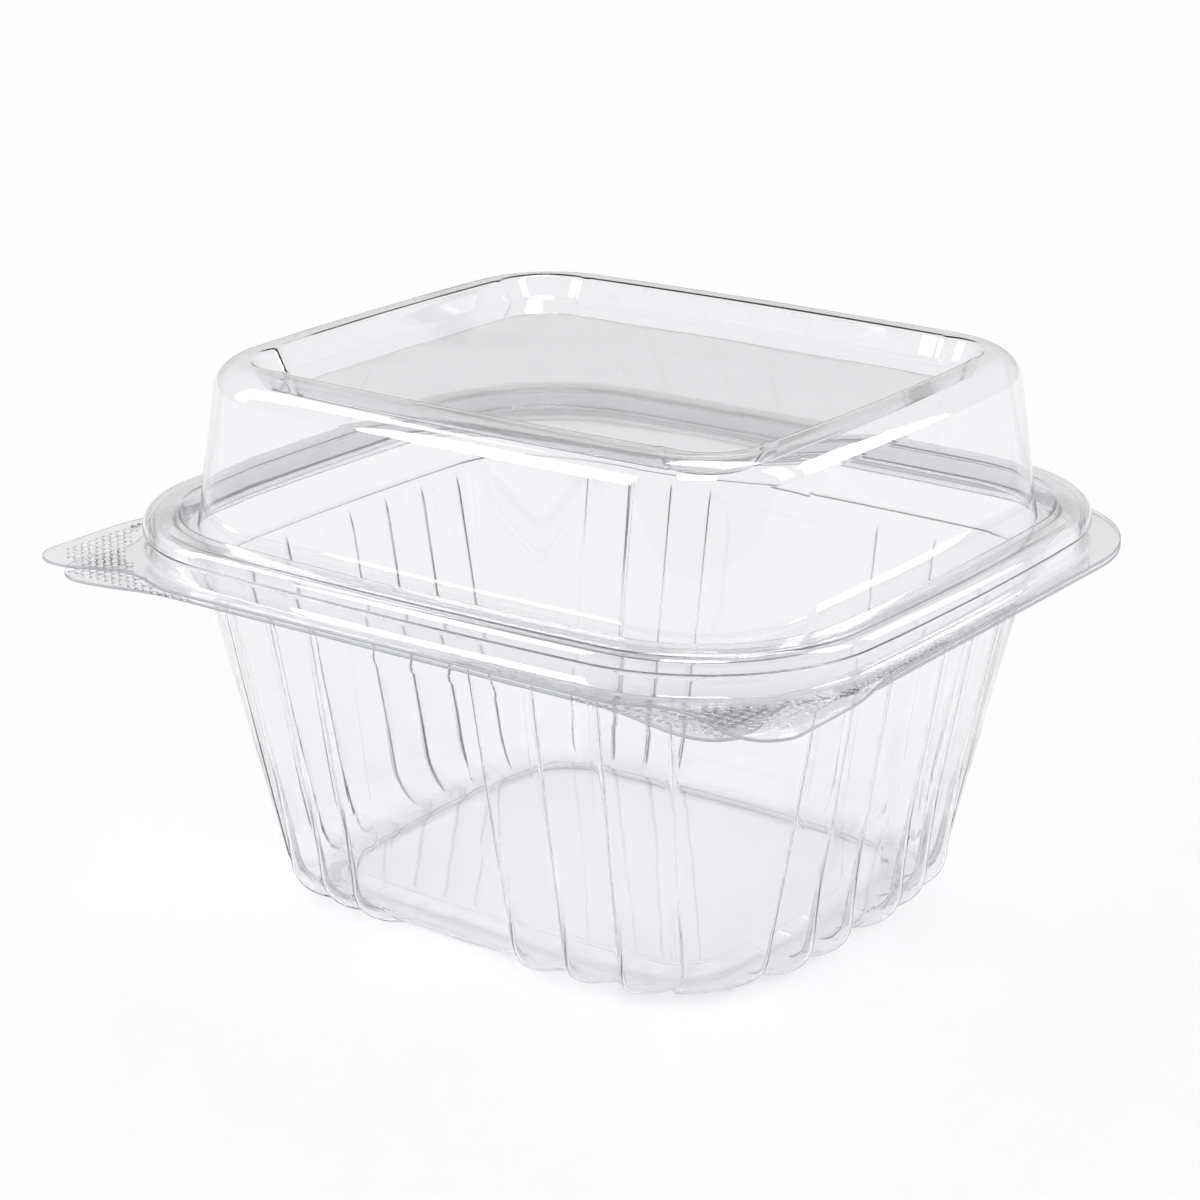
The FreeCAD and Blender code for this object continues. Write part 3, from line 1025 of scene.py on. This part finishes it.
        # From millimetres on the right-hand tab to metres on either one.
        side = node(group, "ShaderNodeMath", {0: given["Side"], 1: MM}, operation="MULTIPLY")
        metres = node(group, "ShaderNodeCombineXYZ", {0: side.outputs[0], 1: MM, 2: MM})
        lift = (0.0, FOOTPRINT_SHIFT * MM, (self.level + self.height / 2 + self.clear) * MM)
        spot = node(group, "GeometryNodeInputPosition").outputs[0]
        moved = node(group, "ShaderNodeVectorMath", {
            0: spot,
            1: metres.outputs[0],
            2: lift,
        }, operation="MULTIPLY_ADD")
        placed = node(group, "GeometryNodeSetPosition", {
            "Geometry": solid.outputs[0],
            "Position": moved.outputs[0],
        })
        dressed = node(group, "GeometryNodeSetMaterial", {"Geometry": placed.outputs[0], "Material": finish})
        node(group, "NodeGroupOutput", {0: dressed.outputs[0]})
        return group

    def build(self, finish: bpy.types.Material) -> list[bpy.types.Object]:
        """Lay the net on both front corners.

        Args:
            finish: Material of the cells.

        Returns:
            The right and the left net.
        """
        group = self.tree(finish)
        pieces = []
        for place, side in (("right", 1.0), ("left", -1.0)):
            name = self.half.value + "_knurl_" + place
            carrier = add_object(name + "_carrier", bpy.data.meshes.new(name + "_carrier"))
            laid = carrier.modifiers.new("knurl", "NODES")
            laid.node_group = group
            for item in group.interface.items_tree:
                if item.item_type == "SOCKET" and item.in_out == "INPUT":
                    laid[item.identifier] = side if item.name == "Side" else item.default_value
            graph = bpy.context.evaluated_depsgraph_get()
            mesh = bpy.data.meshes.new_from_object(carrier.evaluated_get(graph))
            bpy.data.objects.remove(carrier)
            # Mirroring turns the cells inside out.
            if side < 0:
                mesh.flip_normals()
            mesh.name = name
            piece = add_object(name, mesh)
            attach(piece, self.half.value)
            pieces.append(piece)
        return pieces


@dataclass
class TrayKnurl(Knurl):
    """Net on the tray's tabs, which reach further forwards and have their notch at the side; no dots."""

    half: Half = Half.TRAY
    level: float = FLANGE_TOP
    side_limit: float = 67.0
    front_limit: float = -69.2
    notch: Point = (73.0, -54.0)
    row_count: int = 0


@dataclass(frozen=True)
class ClearSheet:
    """Clear PET sheet, extruded and vacuum formed.

    Extrusion leaves a glass-clear gloss, and forming leaves slow ripples a centimetre or two long,
    which break the reflections of the room into streaks.
    """

    name: str = "formed_clear_pet"
    tint: str = "#FAFAFB"
    ior: float = 1.52
    roughness: float = 0.02
    ripple_mm: float = 22.0
    ripple_height: float = 0.09

    def build(self) -> bpy.types.Material:
        """Make the material.

        Returns:
            The finished material.
        """
        material = bpy.data.materials.new(self.name)
        tree = empty_tree(material)
        place = node(tree, "ShaderNodeTexCoord").outputs["Object"]
        slow = node(tree, "ShaderNodeTexNoise", {
            "Vector": place,
            "Scale": 1 / (self.ripple_mm * MM),
            "Detail": 1.0,
        })
        swell = node(tree, "ShaderNodeBump", {
            "Height": slow.outputs["Fac"],
            "Distance": self.ripple_height * MM,
            "Strength": 1.0,
        })
        shell = node(tree, "ShaderNodeBsdfPrincipled", {
            "Base Color": srgb(self.tint),
            "Roughness": self.roughness,
            "IOR": self.ior,
            "Transmission Weight": 1.0,
            "Normal": swell.outputs[0],
        })
        node(tree, "ShaderNodeOutputMaterial", {"Surface": shell.outputs[0]})
        return material


@dataclass(frozen=True)
class CutEdge:
    """Edge of the same sheet where a steel rule trimmed it.

    The cut is torn at a scale finer than a millimetre, so it is frosted and shows as a soft grey line.
    """

    name: str = "trimmed_pet_edge"
    colour: str = "#C9CCD1"
    roughness: float = 0.45
    clear: float = 0.35
    ior: float = 1.55
    burr_mm: float = 5 / 6
    burr_height: float = 0.03

    def build(self) -> bpy.types.Material:
        """Make the material.

        Returns:
            The finished material.
        """
        material = bpy.data.materials.new(self.name)
        tree = empty_tree(material)
        place = node(tree, "ShaderNodeTexCoord").outputs["Object"]
        drag = node(tree, "ShaderNodeTexNoise", {
            "Vector": place,
            "Scale": 1 / (self.burr_mm * MM),
            "Detail": 2.0,
        })
        burr = node(tree, "ShaderNodeBump", {
            "Height": drag.outputs["Fac"],
            "Distance": self.burr_height * MM,
            "Strength": 1.0,
        })
        edge = node(tree, "ShaderNodeBsdfPrincipled", {
            "Base Color": srgb(self.colour),
            "Roughness": self.roughness,
            "IOR": self.ior,
            "Transmission Weight": self.clear,
            "Normal": burr.outputs[0],
        })
        node(tree, "ShaderNodeOutputMaterial", {"Surface": edge.outputs[0]})
        return material


@dataclass(frozen=True)
class Softbox:
    """Softbox in metres and watts that only glossy rays see, so it streaks the sheet and lights no floor."""

    name: str
    place: tuple[float, float, float]
    width: float
    height: float
    power: float
    target: tuple[float, float, float] = (0.0, 0.0, 0.05)

    def build(self) -> None:
        """Hang the softbox and turn it to the pack."""
        light = bpy.data.lights.new(self.name, "AREA")
        light.shape = "RECTANGLE"
        light.size = self.width
        light.size_y = self.height
        light.energy = self.power
        thing = add_object(self.name, light)
        point_at(thing, self.place, self.target)
        thing.visible_camera = False
        thing.visible_diffuse = False
        thing.visible_transmission = False


@dataclass
class Studio:
    """White sweep, even sky for the floor, and softboxes for the gloss."""

    floor_size: float = 8.0
    floor_colour: str = "#EDEDEE"
    # Strengths of the sky: on the floor, through the sheet after the floor, and in the gloss.
    sky_for_floor: float = 1.172
    sky_through_sheet: float = 3.0
    backdrop: str = "#FDFDFD"
    sky_colour: str = "#FFFFFF"
    gloss_sky: float = 0.35
    softboxes: tuple[Softbox, ...] = (
        Softbox("key_box", (0.66, -1.13, 1.5), 1.0, 0.55, 40.0),
        Softbox("left_box", (-1.3, -0.8, 0.8), 0.5, 1.2, 22.0),
        Softbox("rim_box", (1.4, 0.6, 0.9), 0.5, 1.2, 22.0),
        Softbox("top_box", (0.0, 0.3, 1.6), 1.0, 0.7, 26.0),
        Softbox("low_front_box", (-0.75, -1.15, 0.42), 0.35, 0.7, 14.0),
        Softbox("low_back_box", (0.95, 1.15, 0.45), 0.4, 0.7, 14.0),
    )

    def world(self) -> None:
        """Set a sky that differs for camera, diffuse and glossy rays.

        What the camera sees past the pack or through it is the plain backdrop. The floor is lit evenly,
        and more of that light comes through the sheet, so that the shadow under the pack stays pale.
        """
        world = bpy.data.worlds.new("studio_sky")
        bpy.context.scene.world = world
        tree = empty_tree(world)
        path = node(tree, "ShaderNodeLightPath").outputs
        bounced = node(tree, "ShaderNodeMath", {0: path["Diffuse Depth"], 1: 0.5}, operation="GREATER_THAN")
        direct = node(tree, "ShaderNodeMath", {
            0: path["Is Camera Ray"],
            1: path["Is Transmission Ray"],
        }, operation="MAXIMUM")
        skies = {}
        for name, colour, strength in (
            ("backdrop", self.backdrop, 1.0),
            ("through", self.sky_colour, self.sky_through_sheet),
            ("gloss", self.sky_colour, self.gloss_sky),
            ("floor", self.sky_colour, self.sky_for_floor),
        ):
            sky = node(tree, "ShaderNodeBackground", {"Color": srgb(colour), "Strength": strength})
            skies[name] = sky.outputs[0]
        clear = node(tree, "ShaderNodeMixShader", {
            0: bounced.outputs[0],
            1: skies["backdrop"],
            2: skies["through"],
        })
        room = node(tree, "ShaderNodeMixShader", {
            0: path["Is Glossy Ray"],
            1: skies["floor"],
            2: skies["gloss"],
        })
        last = node(tree, "ShaderNodeMixShader", {
            0: direct.outputs[0],
            1: room.outputs[0],
            2: clear.outputs[0],
        })
        node(tree, "ShaderNodeOutputWorld", {"Surface": last.outputs[0]})

    def floor(self) -> None:
        """Build the floor under the pack."""
        half = self.floor_size / 2
        corners = [(-half, -half, 0), (half, -half, 0), (half, half, 0), (-half, half, 0)]
        mesh = bpy.data.meshes.new("floor")
        mesh.from_pydata(corners, [], [(0, 1, 2, 3)])
        thing = add_object("floor", mesh)
        # Matt white card: no gloss, so the floor keeps only the pack's soft shadow.
        material = bpy.data.materials.new("floor_card")
        tree = empty_tree(material)
        card = node(tree, "ShaderNodeBsdfDiffuse", {"Color": srgb(self.floor_colour)})
        node(tree, "ShaderNodeOutputMaterial", {"Surface": card.outputs[0]})
        mesh.materials.append(material)

    def build(self) -> None:
        """Build floor, sky and softboxes."""
        self.world()
        self.floor()
        for softbox in self.softboxes:
            softbox.build()


@dataclass
class Viewpoint:
    """Camera fitted to the photograph, 0.56 m from the pack; its places are in metres."""

    place: tuple = (0.3059, -0.4289, 0.2305)
    target: tuple = (-0.0028, -0.0005, 0.05175)
    lens: float = 94.25
    sensor: float = 36.0
    near: float = 0.01
    far: float = 50.0

    def build(self) -> None:
        """Place the camera and make it the scene's."""
        camera = bpy.data.cameras.new("photo_camera")
        camera.lens = self.lens
        camera.sensor_width = self.sensor
        camera.clip_start = self.near
        camera.clip_end = self.far
        thing = add_object("photo_camera", camera)
        point_at(thing, self.place, self.target)
        bpy.context.scene.camera = thing


def main() -> None:
    """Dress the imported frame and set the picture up."""
    logging.basicConfig(level=logging.INFO)
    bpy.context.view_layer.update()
    sheet = ClearSheet().build()
    cut = CutEdge().build()
    for half in (Tray(), Lid()):
        piece = half.build(sheet, cut)
        half.place(piece)
        LOG.info("formed %s, %d faces before thickening", piece.name, len(piece.data.polygons))
    for net in (Knurl(), TrayKnurl()):
        for piece in net.build(sheet):
            LOG.info("laid %s, %d faces", piece.name, len(piece.data.polygons))
    Studio().build()
    Viewpoint().build()
    bpy.context.scene.view_settings.view_transform = "Standard"


if __name__ == "__main__":
    main()
